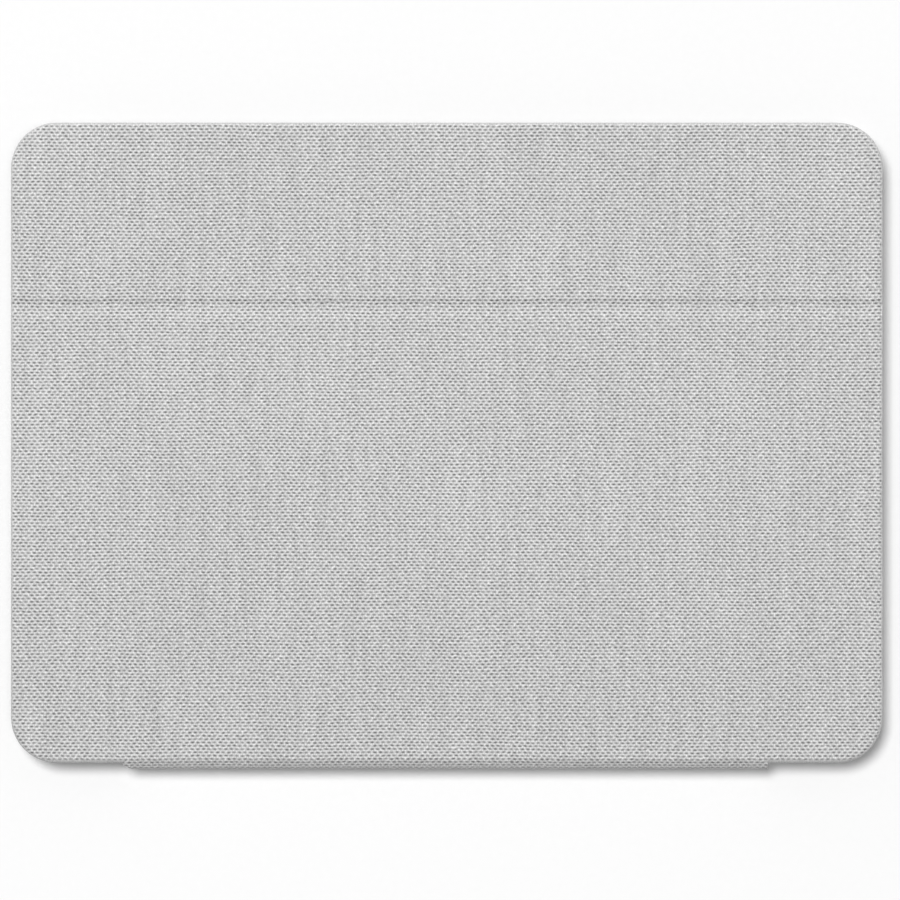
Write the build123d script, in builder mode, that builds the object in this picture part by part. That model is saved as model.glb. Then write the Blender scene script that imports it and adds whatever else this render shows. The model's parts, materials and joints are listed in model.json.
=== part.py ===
from build123d import *
import os

os.makedirs("parts", exist_ok=True)

# Tablet keyboard case (folio) lying closed: keyboard cover below, back cover on top.
# Origin: centre of the outer face of the keyboard cover. +Y points to the free edge,
# the spine runs along -Y, +Z points up through the closed case. Millimetres.

# ---------------------------------------------------------------- driving dimensions
panel_x = 250.0
panel_y = 183.6
panel_r = 13.1
half_y = panel_y / 2
case_z = 15.0
fit = 0.05
snug = 0.10

skin_t = 0.7
board_t = 0.8
lining_t = 0.5
cover_t = skin_t + board_t + lining_t
hem_w = 2.1
skin_edge_r = 0.5
lining_z = case_z - cover_t
back_board_z = lining_z + lining_t

# spine strip and the two lines it bends on
spine_half_x = 92.0
hinge_y = -93.2
hinge_low_z = 0.4
hinge_high_z = case_z - 0.4
spine_reach = 0.35
spine_skin_y = hinge_y - 0.4
stiffener_t = 0.4
spine_lining_t = 0.4
spine_layer_gap = 0.05

# crease between the stand half and the holder half of the back cover
fold_y = 39.0
fold_gap_low = 0.12
fold_gap_high = 0.8
fold_board_gap = 1.5

# keyboard module
module_inset = 2.2
module_x = panel_x - 2 * module_inset
module_y = panel_y - 2 * module_inset
module_r = panel_r - module_inset
module_z = skin_t + board_t
floor_t = 0.8
floor_z = module_z + floor_t
wall_t = 1.5
top_z = 6.6
deck_t = 1.0
deck_z = top_z - deck_t
module_edge_r = 0.6

# keys: pitch, layout from the user's left, who sits on the +Y side
pitch = 16.5
row_units = 14.5
cap_size = 14.5
gap_between_caps = pitch - cap_size
slot_clear = 0.35
half_key_gap = 0.7
first_row_y = 2.5
web_z = 4.4
web_top_z = 5.2
cap_z = 4.9
cap_top_z = 6.4
cap_cavity_z = 5.6
cap_wall = 1.0
cap_edge = 0.45
well_margin = 1.4
cap_corner_r = 1.3
slot_corner_r = cap_corner_r + slot_clear
well_corner_r = 4.0
web_corner_r = 5.4
web_rim = 0.7

# tablet groove across the module
groove_y0 = -8.0
groove_y1 = -1.0
groove_z = 5.0
groove_half_x = 106.0
trough_wall = 1.2
trough_z = 4.2
grip_t = 0.4


def row_centre_y(row):
    return first_row_y + pitch * (row + 0.5)


def key_centre_x(left_units, width_units):
    # the user's left is +X
    return (row_units / 2 - left_units - width_units / 2) * pitch


def key_run(row, left_units, width_units, count):
    # equal neighbouring keys: list of (x, y, cap length, cap depth)
    length = width_units * pitch - gap_between_caps
    y = row_centre_y(row)
    keys = []
    for i in range(count):
        keys.append((key_centre_x(left_units + i * width_units, width_units), y, length, cap_size))
    return keys


half_cap = (cap_size - half_key_gap) / 2
half_shift = (half_cap + half_key_gap) / 2
arrow_x = key_centre_x(12.5, 1)

key_groups = {
    "number_row_keys": key_run(0, 0, 1, 13),
    "backspace_key": key_run(0, 13, 1.5, 1),
    "tab_key": key_run(1, 0, 1.5, 1),
    "top_letter_keys": key_run(1, 1.5, 1, 13),
    "caps_key": key_run(2, 0, 1.75, 1),
    "home_letter_keys": key_run(2, 1.75, 1, 11),
    "enter_key": key_run(2, 12.75, 1.75, 1),
    "left_shift_key": key_run(3, 0, 2.25, 1),
    "bottom_letter_keys": key_run(3, 2.25, 1, 10),
    "right_shift_key": key_run(3, 12.25, 2.25, 1),
    "modifier_keys": key_run(4, 0, 1, 3) + key_run(4, 3, 1.25, 1)
    + key_run(4, 9.25, 1.25, 1) + key_run(4, 10.5, 1, 1),
    "space_bar": key_run(4, 4.25, 5, 1),
    "left_key": key_run(4, 11.5, 1, 1),
    "up_key": [(arrow_x, row_centre_y(4) - half_shift, cap_size, half_cap)],
    "down_key": [(arrow_x, row_centre_y(4) + half_shift, cap_size, half_cap)],
    "right_key": key_run(4, 13.5, 1, 1),
}
all_keys = [key for keys in key_groups.values() for key in keys]
# up and down share one full-size slot
slots = [key for name, keys in key_groups.items() if name not in ("up_key", "down_key") for key in keys]
slots = slots + [(arrow_x, row_centre_y(4), cap_size, cap_size)]

well_half_x = row_units * pitch / 2 - gap_between_caps / 2 + well_margin
well_y0 = row_centre_y(0) - cap_size / 2 - well_margin
well_y1 = row_centre_y(4) + cap_size / 2 + well_margin
well_mid_y = (well_y0 + well_y1) / 2
well_len_y = well_y1 - well_y0

# ---------------------------------------------------------------- keyboard cover
# Outer fabric of the keyboard cover: flat sheet, turned up round the board and folded over it.
with BuildPart() as front_skin:
    with BuildSketch(Plane.XY):
        RectangleRounded(panel_x, panel_y, panel_r)
    extrude(amount=cover_t)
    fillet(front_skin.edges().filter_by(lambda e: abs(e.center().Z) < 1e-6), radius=skin_edge_r)
    fillet(front_skin.edges().group_by(Axis.Z)[-1], radius=skin_edge_r)
    with BuildSketch(Plane.XY.offset(skin_t)):
        RectangleRounded(panel_x - 2 * skin_t, panel_y - 2 * skin_t, panel_r - skin_t)
    extrude(amount=board_t, mode=Mode.SUBTRACT)
    with BuildSketch(Plane.XY.offset(skin_t + board_t)):
        RectangleRounded(panel_x - 2 * hem_w, panel_y - 2 * hem_w, panel_r - hem_w)
    extrude(amount=lining_t, mode=Mode.SUBTRACT)
    # tongue that carries the fabric on to the spine line
    with Locations((0, (hinge_y - half_y) / 2 + skin_t / 2, 0)):
        Box(2 * spine_half_x, -half_y - hinge_y + skin_t, skin_t,
            align=(Align.CENTER, Align.CENTER, Align.MIN))
front_skin.part.label = "front_skin"

board_gap = 0.1
with BuildPart() as front_board:
    with BuildSketch(Plane.XY.offset(skin_t)):
        RectangleRounded(panel_x - 2 * (skin_t + board_gap), panel_y - 2 * (skin_t + board_gap),
                         panel_r - skin_t - board_gap)
    extrude(amount=board_t)
front_board.part.label = "front_board"

# ---------------------------------------------------------------- module shell and cover
screw_points = [(-116.5, -82.5), (-40.0, -83.5), (40.0, -83.5), (116.5, -82.5),
                (-117.5, -14.5), (-62.0, -14.5), (62.0, -14.5), (117.5, -14.5)]
screw_head_d = 2.8
screw_head_t = 0.5
screw_shank_d = 1.4
screw_len = 3.2
boss_d = 4.2
screw_clear = 0.1
cross_l = 1.5
cross_w = 0.35
cross_depth = 0.35

socket_y = -34.0
socket_w = 8.94
socket_h = 3.16
socket_depth = 7.35
socket_z = floor_z + 0.07
socket_wall_clear = 0.15
socket_opening_w = 8.34
socket_opening_h = 2.56
socket_set_in = 0.05
socket_back_t = 1.0
socket_window_h = socket_h + 0.1
tongue_w = 6.69
tongue_t = 0.7
tongue_set_in = 0.9

switch_y = -44.0
switch_slot_l = 8.0
switch_slot_z0 = 3.2
switch_slot_z1 = 4.9
switch_travel = 3.0

with BuildPart() as module_shell:
    with BuildSketch(Plane.XY.offset(module_z)):
        RectangleRounded(module_x, module_y, module_r)
    extrude(amount=deck_z - module_z)
    with BuildSketch(Plane.XY.offset(floor_z)):
        RectangleRounded(module_x - 2 * wall_t, module_y - 2 * wall_t, module_r - wall_t)
    extrude(amount=deck_z - floor_z, mode=Mode.SUBTRACT)
    # charge socket window in the -X wall, switch slot in the +X wall
    with Locations((-module_x / 2, socket_y, socket_z + socket_h / 2)):
        Box(4 * wall_t, socket_w + 2 * socket_wall_clear, socket_window_h, mode=Mode.SUBTRACT)
    with Locations((module_x / 2, switch_y, (switch_slot_z0 + switch_slot_z1) / 2)):
        Box(4 * wall_t, switch_slot_l, switch_slot_z1 - switch_slot_z0, mode=Mode.SUBTRACT)
    # screw holes with seats sunk into the underside
    with BuildSketch(Plane.XY.offset(module_z)):
        with Locations(*screw_points):
            Circle(screw_shank_d / 2 + screw_clear)
    extrude(amount=floor_t, mode=Mode.SUBTRACT)
    with BuildSketch(Plane.XY.offset(module_z)):
        with Locations(*screw_points):
            Circle(screw_head_d / 2 + screw_clear)
    extrude(amount=screw_head_t, mode=Mode.SUBTRACT)
module_shell.part.label = "module_shell"

light_x = 114.0
light_y = -13.5
light_d = 1.6
light_flange_w = 0.5
light_flange_t = 0.5
pad_half_x = 112.0
pad_y0 = -86.0
pad_y1 = -19.0
pad_t = 0.3
pad_r = 6.0
bumper_points = [(-100.0, -87.8), (100.0, -87.8), (-121.2, -30.0), (121.2, -30.0),
                 (-121.2, 40.0), (121.2, 40.0), (-60.0, 87.9), (60.0, 87.9)]
bumper_r = 0.8
bumper_sink = 0.3
bumper_rise = 0.3

with BuildPart() as module_cover:
    with BuildSketch(Plane.XY.offset(deck_z)):
        RectangleRounded(module_x, module_y, module_r)
    extrude(amount=deck_t)
    fillet(module_cover.edges().group_by(Axis.Z)[-1], radius=module_edge_r)
    # lowered key surround: pocket with a thinner web hanging below the deck
    with BuildSketch(Plane.XY.offset(web_z)):
        with Locations((0, well_mid_y)):
            RectangleRounded(2 * (well_half_x + web_rim), well_len_y + 2 * web_rim, web_corner_r)
    extrude(amount=deck_z - web_z)
    with BuildSketch(Plane.XY.offset(web_top_z)):
        with Locations((0, well_mid_y)):
            RectangleRounded(2 * well_half_x, well_len_y, well_corner_r)
    extrude(amount=top_z - web_top_z, mode=Mode.SUBTRACT)
    with BuildSketch(Plane.XY.offset(web_z)):
        for slot_x, slot_y, slot_l, slot_d in slots:
            with Locations((slot_x, slot_y)):
                RectangleRounded(slot_l + 2 * slot_clear, slot_d + 2 * slot_clear, slot_corner_r)
    extrude(amount=web_top_z - web_z, mode=Mode.SUBTRACT)
    # trough and groove the tablet edge stands in
    with Locations((0, (groove_y0 + groove_y1) / 2, trough_z)):
        Box(2 * groove_half_x + 2 * trough_wall, groove_y1 - groove_y0 + 2 * trough_wall,
            deck_z - trough_z, align=(Align.CENTER, Align.CENTER, Align.MIN))
    with BuildSketch(Plane.XY.offset(groove_z)):
        with Locations((0, (groove_y0 + groove_y1) / 2)):
            SlotOverall(2 * groove_half_x, groove_y1 - groove_y0)
    extrude(amount=top_z - groove_z, mode=Mode.SUBTRACT)
    # screw bosses
    with BuildSketch(Plane.XY.offset(floor_z + fit)):
        with Locations(*screw_points):
            Circle(boss_d / 2)
    extrude(amount=deck_z - floor_z - fit)
    with BuildSketch(Plane.XY.offset(floor_z)):
        with Locations(*screw_points):
            Circle(screw_shank_d / 2)
    extrude(amount=screw_len - (floor_z - module_z - screw_head_t) + snug, mode=Mode.SUBTRACT)
    # recess for the deck pad, light hole and bumper seats
    with BuildSketch(Plane.XY.offset(top_z - pad_t)):
        with Locations((0, (pad_y0 + pad_y1) / 2)):
            RectangleRounded(2 * pad_half_x, pad_y1 - pad_y0, pad_r)
    extrude(amount=pad_t, mode=Mode.SUBTRACT)
    with BuildSketch(Plane.XY.offset(deck_z)):
        with Locations((light_x, light_y)):
            Circle(light_d / 2)
    extrude(amount=deck_t, mode=Mode.SUBTRACT)
    with BuildSketch(Plane.XY.offset(top_z - bumper_sink)):
        with Locations(*bumper_points):
            Circle(bumper_r)
    extrude(amount=bumper_sink, mode=Mode.SUBTRACT)
module_cover.part.label = "module_cover"

with BuildPart() as module_screws:
    with BuildSketch(Plane.XY.offset(module_z)):
        with Locations(*screw_points):
            Circle(screw_head_d / 2)
    extrude(amount=screw_head_t)
    with BuildSketch(Plane.XY.offset(module_z + screw_head_t)):
        with Locations(*screw_points):
            Circle(screw_shank_d / 2)
    extrude(amount=screw_len)
    # cross recess in each head
    with BuildSketch(Plane.XY.offset(module_z)):
        with Locations(*screw_points):
            Rectangle(cross_l, cross_w)
            Rectangle(cross_w, cross_l)
    extrude(amount=cross_depth, mode=Mode.SUBTRACT)
module_screws.part.label = "module_screws"

pad_gap = 0.15
with BuildPart() as deck_pad:
    with BuildSketch(Plane.XY.offset(top_z - pad_t)):
        with Locations((0, (pad_y0 + pad_y1) / 2)):
            RectangleRounded(2 * (pad_half_x - pad_gap), pad_y1 - pad_y0 - 2 * pad_gap, pad_r - pad_gap)
    extrude(amount=pad_t - fit)
deck_pad.part.label = "deck_pad"

grip_half_x = 88.0
grip_y0 = -7.0
grip_y1 = -2.0
rib_gap = 5.5
rib_count = 31
rib_w = 1.2
rib_l = 3.6
rib_rise = 0.2
with BuildPart() as groove_grip:
    with BuildSketch(Plane.XY.offset(groove_z)):
        with Locations((0, (grip_y0 + grip_y1) / 2)):
            SlotOverall(2 * grip_half_x, grip_y1 - grip_y0)
    extrude(amount=grip_t)
    # cross ribs
    with Locations((0, (grip_y0 + grip_y1) / 2, groove_z + grip_t)):
        with GridLocations(rib_gap, 1, rib_count, 1):
            Box(rib_w, rib_l, rib_rise, align=(Align.CENTER, Align.CENTER, Align.MIN))
groove_grip.part.label = "groove_grip"

magnet_len = 20.0
groove_magnet_w = 6.0
groove_magnet_xs = [-92.0, -60.0, -36.0, 36.0, 60.0, 92.0]
with BuildPart() as groove_magnets:
    with Locations((0, (groove_y0 + groove_y1) / 2, floor_z + snug)):
        with Locations(*[(x, 0) for x in groove_magnet_xs]):
            Box(magnet_len, groove_magnet_w, trough_z - floor_z - 2 * snug,
                align=(Align.CENTER, Align.CENTER, Align.MIN))
groove_magnets.part.label = "groove_magnets"

closure_t = 1.5
closure_h = 2.4
closure_wall_gap = 0.2
closure_xs = [-100.0, -76.0, 76.0, 100.0]
closure_y = module_y / 2 - wall_t - closure_wall_gap - closure_t / 2
with BuildPart() as closure_magnets:
    with Locations((0, closure_y, floor_z)):
        with Locations(*[(x, 0) for x in closure_xs]):
            Box(magnet_len, closure_t, closure_h, align=(Align.CENTER, Align.CENTER, Align.MIN))
closure_magnets.part.label = "closure_magnets"

with BuildPart() as status_light:
    with BuildSketch(Plane.XY.offset(deck_z)):
        with Locations((light_x, light_y)):
            Circle(light_d / 2)
    extrude(amount=deck_t - fit)
    with BuildSketch(Plane.XY.offset(deck_z - light_flange_t)):
        with Locations((light_x, light_y)):
            Circle(light_d / 2 + light_flange_w)
    extrude(amount=light_flange_t)
status_light.part.label = "status_light"

with BuildPart() as screen_bumpers:
    with BuildSketch(Plane.XY.offset(top_z - bumper_sink)):
        with Locations(*bumper_points):
            Circle(bumper_r)
    extrude(amount=bumper_sink + bumper_rise)
    fillet(screen_bumpers.edges().group_by(Axis.Z)[-1], radius=bumper_rise * 0.8)
screen_bumpers.part.label = "screen_bumpers"

# ---------------------------------------------------------------- key mechanism
plate_z = floor_z
plate_t = 0.4
plate_margin = 0.4
plate_corner_r = 6.0
plate_hole_r = 0.6
sheet_hole_r = 0.9
dome_hole_r = 1.2
sheet_inset = 0.45
dome_inset = 0.8
plate_half_x = well_half_x + 0.2
plate_y0 = well_y0 - plate_margin
plate_y1 = row_centre_y(4) + cap_size / 2 + 0.6
plate_mid_y = (plate_y0 + plate_y1) / 2
sheet_z = plate_z + plate_t
sheet_t = 0.25
dome_sheet_z = sheet_z + sheet_t
dome_sheet_t = 0.15
dome_base_d = 4.6
dome_top_z = 5.5
seam_points = [(x * 2 * pitch, first_row_y + pitch * row)
               for x in (-3, -2, -1, 0, 1, 2, 3) for row in (1, 2, 3, 4)]

with BuildPart() as key_plate:
    with BuildSketch(Plane.XY.offset(plate_z)):
        with Locations((0, plate_mid_y)):
            RectangleRounded(2 * plate_half_x, plate_y1 - plate_y0, plate_corner_r)
        with Locations(*seam_points):
            Circle(plate_hole_r, mode=Mode.SUBTRACT)
    extrude(amount=plate_t)
key_plate.part.label = "key_plate"

with BuildPart() as switch_sheet:
    with BuildSketch(Plane.XY.offset(sheet_z)):
        with Locations((0, plate_mid_y)):
            RectangleRounded(2 * (plate_half_x - sheet_inset), plate_y1 - plate_y0 - 2 * sheet_inset,
                             plate_corner_r)
        with Locations(*seam_points):
            Circle(sheet_hole_r, mode=Mode.SUBTRACT)
    extrude(amount=sheet_t)
switch_sheet.part.label = "switch_sheet"

space_x = key_groups["space_bar"][0][0]
space_link_x = 26.0
link_points = [key for key in all_keys if key[2] < 4 * pitch]
link_points = link_points + [(space_x - space_link_x, row_centre_y(4), cap_size, cap_size),
                             (space_x + space_link_x, row_centre_y(4), cap_size, cap_size)]
dome_points = [(key[0], key[1]) for key in all_keys if key[3] == cap_size]
small_dome_points = [(key[0], key[1]) for key in all_keys if key[3] != cap_size]
small_dome_d = 2.6
dome_taper = 7.0

with BuildPart() as dome_sheet:
    with BuildSketch(Plane.XY.offset(dome_sheet_z)):
        with Locations((0, plate_mid_y)):
            RectangleRounded(2 * (plate_half_x - dome_inset), plate_y1 - plate_y0 - 2 * dome_inset,
                             plate_corner_r)
        with Locations(*seam_points):
            Circle(dome_hole_r, mode=Mode.SUBTRACT)
    extrude(amount=dome_sheet_t)
    with BuildSketch(Plane.XY.offset(dome_sheet_z + dome_sheet_t)):
        with Locations(*dome_points):
            Circle(dome_base_d / 2)
        with Locations(*small_dome_points):
            Circle(small_dome_d / 2)
    extrude(amount=dome_top_z - dome_sheet_z - dome_sheet_t, taper=dome_taper)
dome_sheet.part.label = "dome_sheet"

# crossed links under each key: an outer and an inner frame leaning opposite ways
link_z = 4.35
link_tilt = 10.0
link_t = 0.6
link_bar = 0.8
outer_link_x = 10.6
inner_link_x = 8.4
link_y = 9.2
short_link_y = 5.0
long_links = [(k[0], k[1], link_z) for k in link_points if k[3] == cap_size]
short_links = [(k[0], k[1], link_z) for k in link_points if k[3] != cap_size]

with BuildPart() as scissor_links:
    for centres, depth in ((long_links, link_y), (short_links, short_link_y)):
        for width, tilt in ((outer_link_x, link_tilt), (inner_link_x, -link_tilt)):
            with Locations(*[Location(c, (tilt, 0, 0)) for c in centres]):
                Box(width, depth, link_t)
                Box(width - 2 * link_bar, depth - 2 * link_bar, link_t, mode=Mode.SUBTRACT)
scissor_links.part.label = "scissor_links"

# ---------------------------------------------------------------- key caps
caps = {}
for group_name, group_keys in key_groups.items():
    with BuildPart() as key_caps:
        for cap_x, cap_y, cap_l, cap_d in group_keys:
            with BuildSketch(Plane.XY.offset(cap_z)):
                with Locations((cap_x, cap_y)):
                    RectangleRounded(cap_l, cap_d, cap_corner_r)
            extrude(amount=cap_top_z - cap_z)
        chamfer(key_caps.edges().group_by(Axis.Z)[-1], length=cap_edge)
        for cap_x, cap_y, cap_l, cap_d in group_keys:
            with BuildSketch(Plane.XY.offset(cap_z)):
                with Locations((cap_x, cap_y)):
                    RectangleRounded(cap_l - 2 * cap_wall, cap_d - 2 * cap_wall, cap_corner_r / 2)
            extrude(amount=cap_cavity_z - cap_z, mode=Mode.SUBTRACT)
    key_caps.part.label = group_name
    caps[group_name] = key_caps

# ---------------------------------------------------------------- electronics
battery_z = floor_z + snug
battery_x = 118.0
battery_y = 56.0
battery_t = 2.8
battery_r = 3.0
battery_edge_r = 0.8
battery_mid_y = -49.0
with BuildPart() as battery:
    with BuildSketch(Plane.XY.offset(battery_z)):
        with Locations((0, battery_mid_y)):
            RectangleRounded(battery_x, battery_y, battery_r)
    extrude(amount=battery_t)
    fillet(battery.edges().group_by(Axis.Z)[-1], radius=battery_edge_r)
battery.part.label = "battery"

pcb_z = 2.7
pcb_t = 0.8
pcb_x = 58.0
pcb_y = 42.0
pcb_mid = (-91.5, -40.0)
with BuildPart() as circuit_board:
    with BuildSketch(Plane.XY.offset(pcb_z)):
        with Locations(pcb_mid):
            Rectangle(pcb_x, pcb_y)
        # notch the charge socket sits in
        with Locations((-module_x / 2 + socket_depth / 2, socket_y)):
            Rectangle(socket_depth + 2 * snug, socket_w + 2 * snug, mode=Mode.SUBTRACT)
    extrude(amount=pcb_t)
circuit_board.part.label = "circuit_board"

# chips, small parts and the ribbon connector: (length, width, height, places)
component_sets = [(7.0, 7.0, 0.9, [(-92, -44), (-76, -30)]),
                  (3.2, 2.5, 0.8, [(-80, -48), (-100, -30), (-92, -32)]),
                  (12.0, 3.2, 1.2, [(-76, -21.5)])]
with BuildPart() as board_components:
    for comp_x, comp_y, comp_h, places in component_sets:
        with Locations(*[(x, y, pcb_z + pcb_t) for x, y in places]):
            Box(comp_x, comp_y, comp_h, align=(Align.CENTER, Align.CENTER, Align.MIN))
board_components.part.label = "board_components"

with BuildPart() as charge_socket:
    with Locations((-module_x / 2 + socket_set_in, socket_y, socket_z + socket_h / 2)):
        with Locations(Rotation(0, 90, 0)):
            Box(socket_h, socket_w, socket_depth, align=(Align.CENTER, Align.CENTER, Align.MIN))
    fillet(charge_socket.edges().filter_by(Axis.X), radius=socket_h / 2 - 0.1)
    with BuildSketch(Plane.YZ.offset(-module_x / 2 + socket_set_in)):
        with Locations((socket_y, socket_z + socket_h / 2)):
            SlotOverall(socket_opening_w, socket_opening_h)
    extrude(amount=socket_depth - socket_back_t, mode=Mode.SUBTRACT)
    # contact tongue
    with BuildSketch(Plane.YZ.offset(-module_x / 2 + tongue_set_in)):
        with Locations((socket_y, socket_z + socket_h / 2)):
            Rectangle(tongue_w, tongue_t)
    extrude(amount=socket_depth + socket_set_in - tongue_set_in - socket_back_t)
charge_socket.part.label = "charge_socket"

ribbon_t = 0.15
ribbon_x = -76.0
ribbon_half_w = 4.5
ribbon_bend_y = -11.0
ribbon_rise_y = -14.0
ribbon_end_y = -19.5
ribbon_low_z = sheet_z + sheet_t
ribbon_high_z = pcb_z + pcb_t
with BuildPart() as ribbon_cable:
    with BuildSketch(Plane.YZ.offset(ribbon_x)):
        with BuildLine():
            Polyline((plate_y0 + 0.2, ribbon_low_z + fit), (ribbon_bend_y, ribbon_low_z + fit),
                     (ribbon_rise_y, ribbon_high_z + fit), (ribbon_end_y, ribbon_high_z + fit),
                     (ribbon_end_y, ribbon_high_z + fit + ribbon_t),
                     (ribbon_rise_y - 0.1, ribbon_high_z + fit + ribbon_t),
                     (ribbon_bend_y - 0.1, ribbon_low_z + fit + ribbon_t),
                     (plate_y0 + 0.2, ribbon_low_z + fit + ribbon_t), close=True)
        make_face()
    extrude(amount=ribbon_half_w, both=True)
ribbon_cable.part.label = "ribbon_cable"

knob_l = switch_slot_l - switch_travel - 0.6
knob_h = switch_slot_z1 - switch_slot_z0 - 0.2
knob_out = 0.7
knob_edge = 0.25
flange_t = 0.5
flange_margin_y = 1.5
flange_margin_z = 0.3
knob_rest_y = switch_y - switch_travel / 2
with BuildPart() as power_switch:
    with Locations((module_x / 2 + knob_out, knob_rest_y, (switch_slot_z0 + switch_slot_z1) / 2)):
        Box(wall_t + knob_out + flange_t + snug, knob_l, knob_h,
            align=(Align.MAX, Align.CENTER, Align.CENTER))
    chamfer(power_switch.faces().sort_by(Axis.X)[-1].edges(), length=knob_edge)
    # flange behind the wall keeps the knob in
    with Locations((module_x / 2 - wall_t - snug, knob_rest_y, (switch_slot_z0 + switch_slot_z1) / 2)):
        Box(flange_t, knob_l + 2 * flange_margin_y, knob_h + 2 * flange_margin_z,
            align=(Align.MAX, Align.CENTER, Align.CENTER))
power_switch.part.label = "power_switch"

# ---------------------------------------------------------------- spine
spine_h0 = hinge_low_z + spine_reach
spine_h1 = hinge_high_z - spine_reach
spine_edge_r = 0.45
stiffener_end_x = 2.0
stiffener_end_z = 2.0
lining_end_x = 0.5
lining_end_z = 1.7
with BuildPart() as spine_skin:
    with Locations((0, spine_skin_y, spine_h0)):
        Box(2 * spine_half_x, skin_t, spine_h1 - spine_h0, align=(Align.CENTER, Align.MIN, Align.MIN))
    fillet(spine_skin.faces().sort_by(Axis.Y)[0].edges().filter_by(Axis.X), radius=spine_edge_r)
spine_skin.part.label = "spine_skin"

stiffener_y = spine_skin_y + skin_t + spine_layer_gap
with BuildPart() as spine_stiffener:
    with Locations((0, stiffener_y, hinge_low_z + stiffener_end_z)):
        Box(2 * (spine_half_x - stiffener_end_x), stiffener_t,
            hinge_high_z - hinge_low_z - 2 * stiffener_end_z,
            align=(Align.CENTER, Align.MIN, Align.MIN))
spine_stiffener.part.label = "spine_stiffener"

spine_lining_y = stiffener_y + stiffener_t + spine_layer_gap
with BuildPart() as spine_lining:
    with Locations((0, spine_lining_y, hinge_low_z + lining_end_z)):
        Box(2 * (spine_half_x - lining_end_x), spine_lining_t, hinge_high_z - hinge_low_z - 2 * lining_end_z,
            align=(Align.CENTER, Align.MIN, Align.MIN))
spine_lining.part.label = "spine_lining"

# ---------------------------------------------------------------- back cover
cut_clear = 5.0

# Outer fabric of the stand half: hem on three sides, half of the crease valley on the fourth.
with BuildPart() as stand_skin:
    with BuildSketch(Plane.XY.offset(lining_z)):
        RectangleRounded(panel_x, panel_y, panel_r)
    extrude(amount=cover_t)
    fillet(stand_skin.edges().group_by(Axis.Z)[0], radius=skin_edge_r)
    fillet(stand_skin.edges().group_by(Axis.Z)[-1], radius=skin_edge_r)
    with BuildSketch(Plane.XY.offset(back_board_z)):
        RectangleRounded(panel_x - 2 * skin_t, panel_y - 2 * skin_t, panel_r - skin_t)
    extrude(amount=board_t, mode=Mode.SUBTRACT)
    with BuildSketch(Plane.XY.offset(lining_z)):
        RectangleRounded(panel_x - 2 * hem_w, panel_y - 2 * hem_w, panel_r - hem_w)
    extrude(amount=lining_t, mode=Mode.SUBTRACT)
    with Locations((0, (hinge_y - half_y) / 2 + skin_t / 2, case_z)):
        Box(2 * spine_half_x, -half_y - hinge_y + skin_t, skin_t,
            align=(Align.CENTER, Align.CENTER, Align.MAX))
    with BuildSketch(Plane.YZ):
        with BuildLine():
            Polyline((fold_y - fold_gap_low, 0), (fold_y - fold_gap_low, case_z - skin_t),
                     (fold_y - fold_gap_high, case_z), (fold_y - fold_gap_high, case_z + cut_clear),
                     (panel_y, case_z + cut_clear), (panel_y, 0), close=True)
        make_face()
    extrude(amount=panel_x, both=True, mode=Mode.SUBTRACT)
stand_skin.part.label = "stand_skin"

with BuildPart() as holder_skin:
    with BuildSketch(Plane.XY.offset(lining_z)):
        RectangleRounded(panel_x, panel_y, panel_r)
    extrude(amount=cover_t)
    fillet(holder_skin.edges().group_by(Axis.Z)[0], radius=skin_edge_r)
    fillet(holder_skin.edges().group_by(Axis.Z)[-1], radius=skin_edge_r)
    with BuildSketch(Plane.XY.offset(back_board_z)):
        RectangleRounded(panel_x - 2 * skin_t, panel_y - 2 * skin_t, panel_r - skin_t)
    extrude(amount=board_t, mode=Mode.SUBTRACT)
    with BuildSketch(Plane.XY.offset(lining_z)):
        RectangleRounded(panel_x - 2 * hem_w, panel_y - 2 * hem_w, panel_r - hem_w)
    extrude(amount=lining_t, mode=Mode.SUBTRACT)
    with BuildSketch(Plane.YZ):
        with BuildLine():
            Polyline((fold_y + fold_gap_low, 0), (fold_y + fold_gap_low, case_z - skin_t),
                     (fold_y + fold_gap_high, case_z), (fold_y + fold_gap_high, case_z + cut_clear),
                     (-panel_y, case_z + cut_clear), (-panel_y, 0), close=True)
        make_face()
    extrude(amount=panel_x, both=True, mode=Mode.SUBTRACT)
holder_skin.part.label = "holder_skin"

# magnets let into the boards: (x, y, length, width)
stand_magnet_boxes = [(-100.0, -60.0, 30.0, 8.0), (100.0, -60.0, 30.0, 8.0),
                      (-100.0, 20.0, 30.0, 8.0), (100.0, 20.0, 30.0, 8.0)]
holder_magnet_boxes = [(-104.0, 66.0, 12.0, 30.0), (-78.0, 66.0, 12.0, 30.0), (78.0, 66.0, 12.0, 30.0),
                       (104.0, 66.0, 12.0, 30.0), (-26.0, 82.0, 36.0, 6.0), (26.0, 82.0, 36.0, 6.0)]

with BuildPart() as stand_board:
    with BuildSketch(Plane.XY.offset(back_board_z)):
        RectangleRounded(panel_x - 2 * (skin_t + board_gap), panel_y - 2 * (skin_t + board_gap),
                         panel_r - skin_t - board_gap)
        with Locations((0, fold_y - fold_board_gap)):
            Rectangle(panel_x, panel_y, align=(Align.CENTER, Align.MIN), mode=Mode.SUBTRACT)
        for mag_x, mag_y, mag_l, mag_w in stand_magnet_boxes:
            with Locations((mag_x, mag_y)):
                Rectangle(mag_l + 2 * snug, mag_w + 2 * snug, mode=Mode.SUBTRACT)
    extrude(amount=board_t)
stand_board.part.label = "stand_board"

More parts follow.
